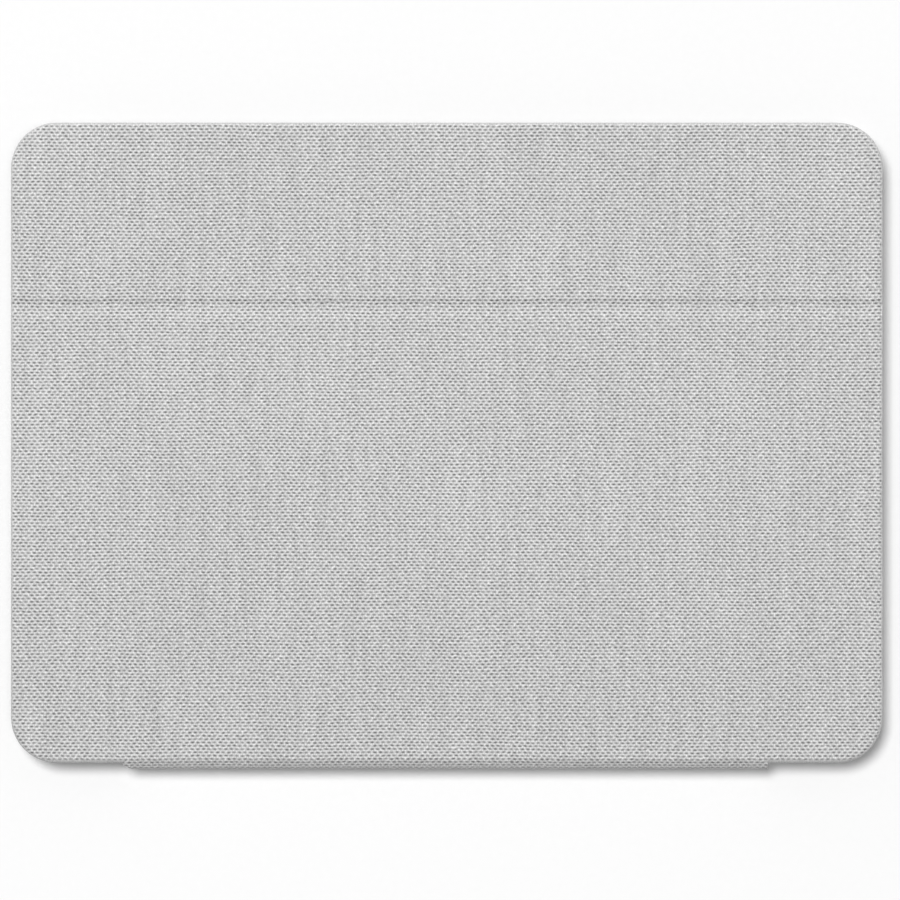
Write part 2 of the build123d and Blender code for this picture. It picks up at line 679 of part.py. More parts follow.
with BuildPart() as holder_board:
    with BuildSketch(Plane.XY.offset(back_board_z)):
        RectangleRounded(panel_x - 2 * (skin_t + board_gap), panel_y - 2 * (skin_t + board_gap),
                         panel_r - skin_t - board_gap)
        with Locations((0, fold_y + fold_board_gap)):
            Rectangle(panel_x, panel_y, align=(Align.CENTER, Align.MAX), mode=Mode.SUBTRACT)
        for mag_x, mag_y, mag_l, mag_w in holder_magnet_boxes:
            with Locations((mag_x, mag_y)):
                Rectangle(mag_l + 2 * snug, mag_w + 2 * snug, mode=Mode.SUBTRACT)
    extrude(amount=board_t)
holder_board.part.label = "holder_board"

with BuildPart() as stand_magnets:
    with BuildSketch(Plane.XY.offset(back_board_z)):
        for mag_x, mag_y, mag_l, mag_w in stand_magnet_boxes:
            with Locations((mag_x, mag_y)):
                Rectangle(mag_l, mag_w)
    extrude(amount=board_t)
stand_magnets.part.label = "stand_magnets"

with BuildPart() as holder_magnets:
    with BuildSketch(Plane.XY.offset(back_board_z)):
        for mag_x, mag_y, mag_l, mag_w in holder_magnet_boxes:
            with Locations((mag_x, mag_y)):
                Rectangle(mag_l, mag_w)
    extrude(amount=board_t)
holder_magnets.part.label = "holder_magnets"

lining_gap = 0.1
lining_x = panel_x - 2 * (hem_w + lining_gap)
lining_y = panel_y - 2 * (hem_w + lining_gap)
lining_r = panel_r - hem_w - lining_gap
with BuildPart() as stand_lining:
    with BuildSketch(Plane.XY.offset(lining_z)):
        RectangleRounded(lining_x, lining_y, lining_r)
        with Locations((0, fold_y - fit)):
            Rectangle(panel_x, panel_y, align=(Align.CENTER, Align.MIN), mode=Mode.SUBTRACT)
    extrude(amount=lining_t)
stand_lining.part.label = "stand_lining"

grip_pad_x = 96.0
grip_pad_y = 22.0
grip_pad_mid_y = 62.0
grip_pad_t = 0.3
grip_pad_r = 4.0
with BuildPart() as holder_lining:
    with BuildSketch(Plane.XY.offset(lining_z)):
        RectangleRounded(lining_x, lining_y, lining_r)
        with Locations((0, fold_y + fit)):
            Rectangle(panel_x, panel_y, align=(Align.CENTER, Align.MAX), mode=Mode.SUBTRACT)
    extrude(amount=lining_t)
    with BuildSketch(Plane.XY.offset(lining_z)):
        with Locations((0, grip_pad_mid_y)):
            RectangleRounded(grip_pad_x, grip_pad_y, grip_pad_r)
    extrude(amount=grip_pad_t, mode=Mode.SUBTRACT)
holder_lining.part.label = "holder_lining"

with BuildPart() as holder_grip_pad:
    with BuildSketch(Plane.XY.offset(lining_z)):
        with Locations((0, grip_pad_mid_y)):
            RectangleRounded(grip_pad_x - 2 * lining_gap, grip_pad_y - 2 * lining_gap,
                             grip_pad_r - lining_gap)
    extrude(amount=grip_pad_t - fit)
holder_grip_pad.part.label = "holder_grip_pad"

# ---------------------------------------------------------------- files, one per piece
builders = [front_skin, front_board, module_shell, module_cover, module_screws, deck_pad, groove_grip,
            groove_magnets, closure_magnets, status_light, screen_bumpers, key_plate, switch_sheet,
            dome_sheet, scissor_links, battery, circuit_board, board_components, charge_socket,
            ribbon_cable, power_switch, spine_skin, spine_stiffener, spine_lining, stand_skin,
            stand_board, stand_magnets, stand_lining, holder_skin, holder_board, holder_magnets,
            holder_lining, holder_grip_pad] + list(caps.values())
for builder in builders:
    export_step(builder.part, "parts/" + builder.part.label + ".step")
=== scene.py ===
import json
import math

import bmesh
import bpy
from mathutils import Matrix, Vector


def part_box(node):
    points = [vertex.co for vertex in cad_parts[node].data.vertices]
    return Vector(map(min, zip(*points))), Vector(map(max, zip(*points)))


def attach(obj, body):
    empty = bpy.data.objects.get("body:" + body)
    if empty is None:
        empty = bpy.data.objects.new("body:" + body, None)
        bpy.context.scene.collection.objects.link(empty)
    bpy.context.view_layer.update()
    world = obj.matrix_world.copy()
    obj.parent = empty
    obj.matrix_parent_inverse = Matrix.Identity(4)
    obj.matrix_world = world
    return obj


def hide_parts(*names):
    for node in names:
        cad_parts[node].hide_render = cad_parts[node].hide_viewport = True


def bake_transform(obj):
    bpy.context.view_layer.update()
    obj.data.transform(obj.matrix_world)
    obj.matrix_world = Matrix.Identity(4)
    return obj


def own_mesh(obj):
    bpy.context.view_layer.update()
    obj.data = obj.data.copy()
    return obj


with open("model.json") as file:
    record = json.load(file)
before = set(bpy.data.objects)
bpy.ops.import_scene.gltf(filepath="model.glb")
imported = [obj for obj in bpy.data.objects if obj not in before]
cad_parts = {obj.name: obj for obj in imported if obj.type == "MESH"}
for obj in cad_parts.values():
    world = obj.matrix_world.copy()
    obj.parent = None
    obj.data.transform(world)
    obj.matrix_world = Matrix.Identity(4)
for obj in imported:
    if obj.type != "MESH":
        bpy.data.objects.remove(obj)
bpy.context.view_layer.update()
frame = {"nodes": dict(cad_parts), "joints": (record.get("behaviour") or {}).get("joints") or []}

MM = 0.001

# ---------------------------------------------------------------- sizes taken from the frame
stand_low, stand_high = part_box("stand_skin")
spine_low, spine_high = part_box("spine_skin")
spine_lining_low, spine_lining_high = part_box("spine_lining")
lining_low, lining_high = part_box("stand_lining")
grip_low, grip_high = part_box("holder_grip_pad")
pad_low, pad_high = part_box("deck_pad")
stand_board_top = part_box("stand_board")[1].z
holder_board_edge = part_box("holder_board")[0].y
fold_y = next(joint["pos_m"][1] for joint in frame["joints"] if joint["name"] == "stand_fold")

half_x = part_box("front_skin")[1].x
half_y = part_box("holder_skin")[1].y
case_z = stand_high.z
lining_z = stand_low.z
spine_half = spine_high.x
mid_z = case_z / 2

# ---------------------------------------------------------------- sizes of the fabric
corner_r = 13.1 * MM
fabric_t = 0.7 * MM
cover_t = 2.0 * MM
lining_inset = 2.2 * MM
notch_inset = 1.1 * MM
crease_offset = 1.35 * MM

notch_y = -(half_y - notch_inset)
hem_notch_y = -(half_y - lining_inset)
crease_line = fold_y + crease_offset

# (distance in mm, value) knots for the weave: how far its gaps are open, and the painted light and shade on
# its yarn
RIM_OPENNESS = ((0.2, 0.0), (0.65, 1.0))
CREASE_STRETCH_SHADE = ((0.3, 1.0), (1.2, 0.0))
STRIP_OPENNESS = ((0.0, 1.0), (1.2, 1.0), (2.6, 0.75), (4.5, 0.95))
STRIP_SHADE = ((0.0, 0.96), (0.4, 0.93), (1.2, 0.93), (2.6, 0.90), (4.5, 0.95))


# ---------------------------------------------------------------- mesh helpers
def outline(inset, steps=14):
    """Rounded rectangle of the cover, pulled in by inset; counter-clockwise."""
    smallest_r = 0.4 * MM
    radius = max(corner_r - inset, smallest_r)
    cx = half_x - inset - radius
    cy = half_y - inset - radius
    points = []
    for corner, (sx, sy) in enumerate(((1, 1), (-1, 1), (-1, -1), (1, -1))):
        for i in range(steps + 1):
            angle = math.pi / 2 * (corner + i / steps)
            points.append((sx * cx + radius * math.cos(angle), sy * cy + radius * math.sin(angle)))
    return points


def box_outline(x0, x1, y0, y1, radius, steps=6):
    """Counter-clockwise rounded rectangle between two corners."""
    centres = ((x1 - radius, y1 - radius), (x0 + radius, y1 - radius),
               (x0 + radius, y0 + radius), (x1 - radius, y0 + radius))
    points = []
    for corner, (cx, cy) in enumerate(centres):
        for i in range(steps + 1):
            angle = math.pi / 2 * (corner + i / steps)
            points.append((cx + radius * math.cos(angle), cy + radius * math.sin(angle)))
    return points


def raised_outline(x0, x1, y0, y1, radius, section, steps=6):
    """Loops of a rounded rectangle for loft, one for each (inset, z) of its section."""
    loops = []
    for inset, z in section:
        ring = box_outline(x0 + inset, x1 - inset, y0 + inset, y1 - inset, radius - inset, steps)
        loops.append([(x, y, z) for x, y in ring])
    return loops


def loft(bm, loops):
    """Closed skin through equal-length loops of points, capped at both ends."""
    rings = [[bm.verts.new(p) for p in loop] for loop in loops]
    for a, b in zip(rings, rings[1:]):
        for i in range(len(a)):
            j = (i + 1) % len(a)
            bm.faces.new((a[i], a[j], b[j], b[i]))
    bm.faces.new(list(reversed(rings[0])))
    bm.faces.new(rings[-1])


def object_from(bm, name, material):
    """Outward normals, then a smooth-shaded object with sharp creases kept."""
    bmesh.ops.recalc_face_normals(bm, faces=bm.faces)
    mesh = bpy.data.meshes.new(name)
    bm.to_mesh(mesh)
    bm.free()
    obj = bpy.data.objects.new(name, mesh)
    bpy.context.scene.collection.objects.link(obj)
    mesh.materials.append(material)
    finish_shading(obj)
    return obj


def finish_shading(obj, angle=38):
    """Smooth shading, with edges sharper than the angle in degrees kept crisp."""
    obj.data.shade_smooth()
    obj.data.set_sharp_from_angle(angle=math.radians(angle))


def cut_rows(obj, rows):
    """Adds a line of vertices across the piece at each y, so that it can bend there."""
    bm = bmesh.new()
    bm.from_mesh(obj.data)
    for y in rows:
        everything = list(bm.verts) + list(bm.edges) + list(bm.faces)
        bmesh.ops.bisect_plane(bm, geom=everything, dist=1e-7, plane_co=(0, y, 0), plane_no=(0, 1, 0))
    bm.to_mesh(obj.data)
    bm.free()


def subtract(obj, low, high):
    """Cuts a box out of a closed piece."""
    bm = bmesh.new()
    bmesh.ops.create_cube(bm, size=1.0)
    size = Vector(high) - Vector(low)
    middle = (Vector(high) + Vector(low)) / 2
    bmesh.ops.scale(bm, vec=size, verts=bm.verts)
    bmesh.ops.translate(bm, vec=middle, verts=bm.verts)
    mesh = bpy.data.meshes.new("cutter")
    bm.to_mesh(mesh)
    bm.free()
    cutter = bpy.data.objects.new("cutter", mesh)
    bpy.context.scene.collection.objects.link(cutter)
    modifier = obj.modifiers.new("cut", "BOOLEAN")
    modifier.operation = "DIFFERENCE"
    modifier.solver = "EXACT"
    modifier.object = cutter
    apply_modifiers(obj)
    bpy.data.objects.remove(cutter)


def apply_modifiers(obj):
    """Replaces the mesh by what its modifiers make of it."""
    depsgraph = bpy.context.evaluated_depsgraph_get()
    mesh = bpy.data.meshes.new_from_object(obj.evaluated_get(depsgraph))
    obj.modifiers.clear()
    obj.data = mesh


def inset_of(x, y):
    """How far a point lies inside the cover's outline."""
    qx = abs(x) - (half_x - corner_r)
    qy = abs(y) - (half_y - corner_r)
    outside = math.hypot(max(qx, 0), max(qy, 0))
    return corner_r - (outside + min(max(qx, qy), 0))


def ramp(value, knots):
    """Straight-line interpolation through (value, result) knots, held at the ends."""
    if value <= knots[0][0]:
        return knots[0][1]
    for (a, at_a), (b, at_b) in zip(knots, knots[1:]):
        if value <= b:
            return at_a + (at_b - at_a) * (value - a) / (b - a)
    return knots[-1][1]


def paint_weave(obj, where, openness, shade):
    """Per vertex: place on the cloth in mm, how far the gaps are open, and the painted light and shade on the
    yarn.
    """
    mesh = obj.data
    layer = mesh.uv_layers.new(name="weave")
    for loop in mesh.loops:
        layer.data[loop.index].uv = where[loop.vertex_index]
    for name, values in (("flat", openness), ("shade", shade)):
        attribute = mesh.attributes.new(name, "FLOAT", "POINT")
        attribute.data.foreach_set("value", values)


def paint_cover(obj, crease_y=None):
    """Weave lies flat over the cover and closes up along the rolled edge, a little earlier on the spine side.

    Along a crease the cloth is stretched and its gaps open, which also paints shade along the crease.
    """
    spine_margin = 0.4 * MM
    rim_shade = 0.90
    right_highlight = 0.14
    spine_shade_depth = 0.08
    crease_shade_gain = 0.14
    where = []
    openness = []
    shade = []
    for vertex in obj.data.vertices:
        x, y = vertex.co.xy
        from_edge = min(inset_of(x, y), y + half_y - spine_margin)
        is_open = ramp(from_edge / MM, RIM_OPENNESS)
        # painted light on the rolled edge: a painted highlight along the right side, painted shade along the
        # spine side
        right = ramp(x, ((half_x - corner_r, 0.0), (half_x, 1.0)))
        spine_side_shade = ramp(-y, ((half_y - corner_r, 0.0), (half_y, 1.0)))
        rim = rim_shade + right_highlight * right - spine_shade_depth * spine_side_shade
        shade.append(rim + (1.0 - rim) * is_open)
        if crease_y is not None:
            # wider gaps along the crease paint shade into it
            is_open *= 1.0 + crease_shade_gain * ramp(abs(y - crease_y) / MM, CREASE_STRETCH_SHADE)
        openness.append(is_open)
        where.append((x / MM, y / MM))
    paint_weave(obj, where, openness, shade)


# ---------------------------------------------------------------- materials
class Graph:
    """Small helper round one node material. A value is a number or the output of another node."""

    def __init__(self, name, slot):
        self.material = bpy.data.materials.new(name)
        self.material.use_nodes = True
        self.tree = self.material.node_tree
        self.shader = self.tree.nodes["Principled BSDF"]
        self.slot = slot

    def node(self, kind, **settings):
        """Adds a node and sets its properties."""
        made = self.tree.nodes.new(kind)
        for key, value in settings.items():
            setattr(made, key, value)
        return made

    def place(self):
        """Place on the object in metres, which stays with the piece as it moves."""
        return self.node("ShaderNodeTexCoord").outputs["Object"]

    def attribute(self, name):
        """A value painted on the mesh."""
        return self.node("ShaderNodeAttribute", attribute_name=name).outputs["Fac"]

    def put(self, socket, value):
        """Feeds a socket."""
        if isinstance(value, bpy.types.NodeSocket):
            self.tree.links.new(value, socket)
        else:
            socket.default_value = value

    def math(self, operation, *values):
        made = self.node("ShaderNodeMath", operation=operation)
        for socket, value in zip(made.inputs, values):
            self.put(socket, value)
        return made.outputs[0]

    def total(self, *values):
        """Sum of any number of values."""
        result = values[0]
        for value in values[1:]:
            result = self.math("ADD", result, value)
        return result

    def product(self, *values):
        """Product of any number of values."""
        result = values[0]
        for value in values[1:]:
            result = self.math("MULTIPLY", result, value)
        return result

    def step(self, value, low, high, to_low=0.0, to_high=1.0):
        """Smooth step of a value between two limits."""
        made = self.node("ShaderNodeMapRange", interpolation_type="SMOOTHSTEP")
        self.put(made.inputs["Value"], value)
        made.inputs["From Min"].default_value = low
        made.inputs["From Max"].default_value = high
        made.inputs["To Min"].default_value = to_low
        made.inputs["To Max"].default_value = to_high
        return made.outputs["Result"]

    def noise(self, vector, scale, detail=2.0, roughness=0.5):
        made = self.node("ShaderNodeTexNoise")
        self.put(made.inputs["Vector"], vector)
        made.inputs["Scale"].default_value = scale
        made.inputs["Detail"].default_value = detail
        made.inputs["Roughness"].default_value = roughness
        return made.outputs["Fac"]

    def mix(self, factor, a, b):
        made = self.node("ShaderNodeMix", data_type="RGBA")
        self.put(made.inputs["Factor"], factor)
        self.put(made.inputs["A"], a)
        self.put(made.inputs["B"], b)
        return made.outputs["Result"]

    def signed(self, value, amount):
        """Turns a 0 to 1 value into one between -amount/2 and +amount/2."""
        return self.math("MULTIPLY", self.math("SUBTRACT", value, 0.5), amount)

    def scaled(self, vector, factors):
        """A vector stretched along its axes."""
        made = self.node("ShaderNodeMapping")
        made.inputs["Scale"].default_value = factors
        self.put(made.inputs["Vector"], vector)
        return made.outputs["Vector"]

    def combine(self, x, y, z):
        made = self.node("ShaderNodeCombineXYZ")
        for socket, value in zip(made.inputs, (x, y, z)):
            self.put(socket, value)
        return made.outputs[0]

    def bump(self, height, strength, distance):
        made = self.node("ShaderNodeBump")
        made.inputs["Strength"].default_value = strength
        made.inputs["Distance"].default_value = distance
        self.put(made.inputs["Height"], height)
        self.put(self.shader.inputs["Normal"], made.outputs["Normal"])

    def finish(self, **inputs):
        """Sets the shader's inputs, named with underscores for spaces, and gives the material."""
        for name, value in inputs.items():
            self.put(self.shader.inputs[name.replace("_", " ")], value)
        self.material["slot"] = self.slot
        return self.material


def grey(level, tint=0.0):
    """Grey colour, with its blue raised by a share."""
    return (level, level, level * (1 + tint), 1.0)


def woven_fabric():
    """Light threads with a staggered field of small dark gaps. Lengths in it are in mm of cloth."""
    pitch_x = 1.607
    pitch_y = 0.94
    gap_x = 0.63
    gap_y = 0.325
    yarn = 0.55
    gap_grey = 0.10
    g = Graph("woven_fabric", "woven_fabric")
    uv = g.node("ShaderNodeUVMap", uv_map="weave").outputs["UV"]
    parts = g.node("ShaderNodeSeparateXYZ")
    g.put(parts.inputs[0], uv)
    # threads wander a little over centimetres, and each crossing sits slightly off its place
    drift = g.noise(uv, 0.03, 1.0)
    jitter = g.signed(g.noise(uv, 0.6, 1.0), 0.20)
    u = g.total(parts.outputs["X"], g.signed(drift, 2.0))
    v = g.total(parts.outputs["Y"], g.signed(drift, 1.0), jitter)
    # every other row is shifted by half a pitch
    row_coord = g.math("DIVIDE", v, pitch_y)
    row = g.math("FLOOR", row_coord)
    shift = g.math("FRACT", g.product(row, 0.5))
    column_coord = g.total(g.math("DIVIDE", u, pitch_x), shift)
    column = g.math("FLOOR", column_coord)
    random = g.node("ShaderNodeTexWhiteNoise", noise_dimensions="2D")
    g.put(random.inputs["Vector"], g.combine(column, row, 0.0))
    picks = g.node("ShaderNodeSeparateColor")
    g.put(picks.inputs[0], random.outputs["Color"])
    # distance from the middle of the gap, in gap sizes; each gap leans by its own amount
    x = g.math("SUBTRACT", g.signed(g.math("FRACT", column_coord), 1.0), g.signed(picks.outputs["Red"], 0.12))
    y = g.math("SUBTRACT", g.signed(g.math("FRACT", row_coord), 1.0), g.signed(picks.outputs["Green"], 0.10))
    lean = g.product(x, g.signed(picks.outputs["Blue"], 0.45))
    across = g.product(x, pitch_x / gap_x)
    along = g.product(g.total(y, lean), pitch_y / gap_y)
    distance = g.math("SQRT", g.total(g.product(across, across), g.product(along, along)))
    openness = g.attribute("flat")
    depth = g.step(random.outputs["Value"], 0.0, 1.0, 0.68, 0.95)
    gap = g.product(g.step(distance, 0.15, 1.45, 1.0, 0.0), openness, depth)
    # crowns of the threads between the gaps catch the light
    crown = g.product(g.step(distance, 0.9, 1.7, 0.0, 1.0), openness)
    # fine fibre flecks, upright streaks of paler yarn, a slow change of tone, painted shade darker towards
    # the spine side
    fleck = g.step(g.noise(g.scaled(uv, (2.4, 1.3, 1.0)), 1.0, 2.0, 0.7), 0.34, 0.70)
    streak = g.noise(g.scaled(uv, (0.45, 0.03, 1.0)), 1.0, 2.0, 0.6)
    slow = g.noise(uv, 0.02, 2.0)
    spine_side_shade = g.step(v, -95.0, 15.0, -0.045, 0.0)
    tone = g.total(g.signed(fleck, 0.30), g.signed(streak, 0.28), g.signed(slow, 0.10), spine_side_shade,
                   g.product(crown, fleck, 0.30))
    brightness = g.product(g.total(1.0, tone), yarn, g.attribute("shade"))
    thread = g.combine(brightness, brightness, g.product(brightness, 0.998))
    height = g.total(g.product(gap, -1.0), g.product(fleck, 0.3), g.product(crown, 0.3))
    g.bump(height, 0.35, 0.15 * MM)
    return g.finish(Base_Color=g.mix(gap, thread, grey(gap_grey)), Roughness=0.88, Sheen_Weight=0.12,
                    Sheen_Roughness=0.5, Specular_IOR_Level=0.25)


def brushed_lining(name, level):
    """Short-pile microfibre with brushed patches."""
    g = Graph(name, "lining_fabric")
    pile = g.noise(g.place(), 2600.0, 3.0, 0.7)
    patch = g.noise(g.place(), 60.0, 3.0, 0.55)
    tone = g.total(g.signed(pile, 0.55), g.signed(patch, 0.16))
    brightness = g.product(g.total(1.0, tone), level)
    g.bump(pile, 0.35, 0.12 * MM)
    return g.finish(Base_Color=g.combine(brightness, brightness, g.product(brightness, 1.03)),
                    Roughness=0.95, Sheen_Weight=0.35, Sheen_Roughness=0.4, Specular_IOR_Level=0.15)


def moulded_plastic(name, slot, level, roughness, grain=1400.0, strength=0.18, tint=0.02):
    """Fine spark-textured plastic with slightly uneven gloss."""
    g = Graph(name, slot)
    texture = g.noise(g.place(), grain, 2.0, 0.6)
    patch = g.noise(g.place(), 35.0, 3.0, 0.5)
    colour = g.mix(patch, grey(level * 0.92, tint), grey(level * 1.08, tint))
    rough = g.step(patch, 0.2, 0.8, roughness - 0.06, roughness + 0.06)
    g.bump(texture, strength, 0.05 * MM)
    return g.finish(Base_Color=colour, Roughness=rough, Specular_IOR_Level=0.4)


def rubber(name, slot, level, roughness=0.75):
    """Matt rubber with a dusting of paler specks."""
    g = Graph(name, slot)
    texture = g.noise(g.place(), 900.0, 3.0, 0.6)
    dust = g.noise(g.place(), 120.0, 2.0, 0.5)
    colour = g.mix(dust, grey(level * 0.85), grey(level * 1.2))
    g.bump(texture, 0.2, 0.05 * MM)
    return g.finish(Base_Color=colour, Roughness=roughness, Specular_IOR_Level=0.3)


def metal(name, slot, level, roughness, stretch=(1.0, 40.0, 1.0)):
    """Rolled or plated metal with a directional grain."""
    g = Graph(name, slot)
    grain = g.noise(g.scaled(g.place(), stretch), 300.0, 3.0, 0.6)
    colour = g.mix(grain, grey(level * 0.85), grey(level * 1.1))
    rough = g.step(grain, 0.3, 0.7, roughness - 0.08, roughness + 0.08)
    g.bump(grain, 0.1, 0.02 * MM)
    return g.finish(Base_Color=colour, Roughness=rough, Metallic=1.0)


def tinted(name, slot, dark, light, roughness, scale=200.0, metallic=0.0, coat=0.0):
    """Two-tone mottled surface for boards, films and small parts."""
    g = Graph(name, slot)
    mottle = g.noise(g.place(), scale, 3.0, 0.55)
    g.bump(mottle, 0.08, 0.03 * MM)
    return g.finish(Base_Color=g.mix(mottle, dark, light), Roughness=roughness, Metallic=metallic,
                    Coat_Weight=coat)


def make_materials():
    """Every material of the object, by the short name that the pieces use."""
    even = (1.0, 1.0, 1.0)
    film_dark, film_light = (0.16, 0.12, 0.06, 1), (0.24, 0.18, 0.1, 1)
    green_dark, green_light = (0.005, 0.05, 0.02, 1), (0.01, 0.08, 0.03, 1)
    return {
        "weave": woven_fabric(),
        "lining": brushed_lining("brushed_lining", 0.085),
        "pad": brushed_lining("pad_microfibre", 0.07),
        "module": moulded_plastic("module_plastic", "module_plastic", 0.055, 0.55),
        "keys": moulded_plastic("key_plastic", "key_plastic", 0.018, 0.42, grain=2200.0, strength=0.12),
        "legend": tinted("legend_paint", "key_plastic", grey(0.62), grey(0.72), 0.5, scale=900.0),
        "grip": rubber("grip_rubber", "grip_rubber", 0.02),
        "domes": rubber("dome_silicone", "dome_silicone", 0.5, 0.45),
        "links": moulded_plastic("link_plastic", "link_plastic", 0.6, 0.4, tint=-0.04),
        "board": tinted("fibre_board", "board", grey(0.045), grey(0.07), 0.8, scale=500.0),
        "plate": metal("plate_steel", "plate_steel", 0.55, 0.38),
        "magnet": metal("magnet_nickel", "magnet", 0.62, 0.22, stretch=even),
        "screw": metal("screw_steel", "screw_steel", 0.35, 0.35, stretch=even),
        "socket": metal("socket_steel", "socket_steel", 0.55, 0.3),
        "film": tinted("printed_film", "film", film_dark, film_light, 0.3, coat=0.3),
        "battery": tinted("battery_foil", "battery_wrap", grey(0.28, 0.04), grey(0.36, 0.04), 0.35,
                          scale=60.0, metallic=0.6),
        "pcb": tinted("board_green", "board_green", green_dark, green_light, 0.35, coat=0.4),
        "chip": tinted("chip_black", "chip_black", grey(0.012), grey(0.02), 0.5, scale=900.0),
        "window": tinted("light_window", "light_window", grey(0.6), grey(0.72), 0.25, scale=300.0),
        "switch": moulded_plastic("switch_plastic", "switch_plastic", 0.03, 0.35),
    }


materials = make_materials()


# CAD nodes that stay visible, and their materials
CAD_MATERIALS = {
    "front_board": "board", "stand_board": "board", "holder_board": "board", "spine_stiffener": "board",
    "module_shell": "module", "module_cover": "module", "module_screws": "screw", "power_switch": "switch",
    "groove_grip": "grip", "screen_bumpers": "grip", "status_light": "window", "charge_socket": "socket",
    "groove_magnets": "magnet", "closure_magnets": "magnet", "stand_magnets": "magnet",
    "holder_magnets": "magnet", "key_plate": "plate", "switch_sheet": "film", "ribbon_cable": "film",
    "battery": "battery", "circuit_board": "pcb", "board_components": "chip",
}

for node_name, material_name in CAD_MATERIALS.items():
    cad_object = frame["nodes"][node_name]
    cad_object.data.materials.clear()
    cad_object.data.materials.append(materials[material_name])


# ---------------------------------------------------------------- cover fabric
def cover_section():
    """(inset from the outline, depth below the outer face): flat top, rolled edge, hem lip, board pocket."""
    rows = [(4.0, 0.0), (2.2, 0.0), (1.5, 0.0), (1.15, 0.02), (0.93, 0.08), (0.70, 0.20), (0.46, 0.34),
            (0.26, 0.50), (0.11, 0.70), (0.03, 0.90), (0.0, 1.12), (0.02, 1.34), (0.09, 1.56),
            (0.22, 1.76), (0.42, 1.91), (0.68, 1.98), (1.0, 2.0), (2.0, 2.0), (2.1, 1.94),
            (2.1, 1.5), (0.72, 1.5), (0.72, 0.7), (4.0, 0.7)]
    return [(inset * MM, depth * MM) for inset, depth in rows]


def dip(y, middle, far_side, near_side):
    """Smooth bell from 0 to 1 round a line; its two sides have their own widths."""
    reach = far_side if y > middle else near_side
    t = min(abs(y - middle) / reach, 1.0)
    return 0.5 + 0.5 * math.cos(math.pi * t)


def press_crease(obj):
    """Presses the crease into the outer face, sharpest along the holder board's edge.

    The inner face gives way only between the two boards.
    """
    hollow, hollow_far, hollow_near = 0.46 * MM, 2.9 * MM, 3.9 * MM
    edge, edge_far, edge_near = 0.13 * MM, 0.8 * MM, 1.5 * MM
    inner = 0.30 * MM
    outer_face = case_z - 0.5 * MM
    inner_face = stand_board_top - 0.01 * MM
    bottom = fold_y - 0.25 * MM
    half_gap = holder_board_edge - fold_y
    for vertex in obj.data.vertices:
        if vertex.co.z > outer_face:
            vertex.co.z -= hollow * dip(vertex.co.y, bottom, hollow_far, hollow_near)
            vertex.co.z -= edge * dip(vertex.co.y, crease_line, edge_far, edge_near)
        elif vertex.co.z > inner_face:
            vertex.co.z -= inner * dip(vertex.co.y, fold_y, half_gap, half_gap)


def cut_round_fold(obj, reach, count):
    """Rows of vertices on both sides of the fold line."""
    cut_rows(obj, [fold_y - reach + 2 * reach * i / count for i in range(count + 1)])


def bend_at_fold(obj):
    """Bakes the piece's placement into its mesh."""
    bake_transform(obj)


def cover_fabric(name, outer_z, inward):
    """One cover's outer fabric. inward is -1 where the material lies below its face, +1 where above."""
    bm = bmesh.new()
    loops = []
    for inset, depth in cover_section():
        z = outer_z + inward * depth
        loops.append([(x, y, z) for x, y in outline(inset)])
    loft(bm, loops)
    obj = object_from(bm, name, materials["weave"])
    # the strip that runs on to the spine is a piece of its own, and the hem stops short of it
    beyond = 5 * MM
    hem_depth = 1.2 * MM
    for first, last, cut_y in ((-cover_t, 2 * cover_t, notch_y), (hem_depth, 2 * cover_t, hem_notch_y)):
        below, above = sorted((outer_z + inward * first, outer_z + inward * last))
        subtract(obj, (-spine_half, -half_y - beyond, below), (spine_half, cut_y, above))
    return obj


def make_back_fabric():
    """One sheet over both halves of the back cover, creased between them."""
    obj = cover_fabric("back_cover_fabric", case_z, -1)
    cut_round_fold(obj, 4.2 * MM, 40)
    press_crease(obj)
    finish_shading(obj)
    paint_cover(obj, crease_line)
    bend_at_fold(obj)
    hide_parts("stand_skin", "holder_skin")


def make_front_fabric():
    """The same cloth under the keyboard, with no crease."""
    obj = cover_fabric("front_cover_fabric", 0.0, 1)
    finish_shading(obj)
    paint_cover(obj)
    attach(obj, "keyboard_base")
    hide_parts("front_skin")


# ---------------------------------------------------------------- spine strip
def smooth_path(points, per_span=5):
    """Catmull-Rom curve through (y, z) points."""
    path = []
    last = len(points) - 1
    for i in range(last):
        p0, p1, p2, p3 = points[max(i - 1, 0)], points[i], points[i + 1], points[min(i + 2, last)]
        for k in range(per_span):
            t = k / per_span
            path.append(tuple(0.5 * (2 * p1[a] + (p2[a] - p0[a]) * t
                                     + (2 * p0[a] - 5 * p1[a] + 4 * p2[a] - p3[a]) * t * t
                                     + (3 * p1[a] - p0[a] - 3 * p2[a] + p3[a]) * t ** 3) for a in (0, 1)))
    path.append(points[-1])
    return path


def end_offset(y):
    """How far the strip's cut end stands out (+) or draws in (-) as it leaves the cover."""
    past = (-half_y - y) / MM
    return MM * ramp(past, ((-0.75, 0.0), (-0.2, 0.5), (0.25, 0.8), (0.7, 0.6), (1.2, -0.2), (1.8, -1.5)))


def lengths_along(path):
    """Distance from the start of a path of (y, z) points, in mm."""
    total = [0.0]
    for a, b in zip(path, path[1:]):
        total.append(total[-1] + math.hypot(b[0] - a[0], b[1] - a[1]) / MM)
    return total


def strip(name, outer, inner, half, end_scale, material, columns=30):
    """Sheet swept along X between an outer and an inner path of (y, z) points, from cover to mid-spine."""
    bm = bmesh.new()
    section = outer + inner[::-1]
    loops = []
    for c in range(columns + 1):
        share = c / columns
        loop = []
        for y, z in section:
            left = -half - end_scale * end_offset(y)
            loop.append((left + (half - left) * share, y, z))
        loops.append(loop)
    loft(bm, loops)
    obj = object_from(bm, name, material)
    if material is materials["weave"]:
        paint_strip(obj, outer, inner)
    return obj


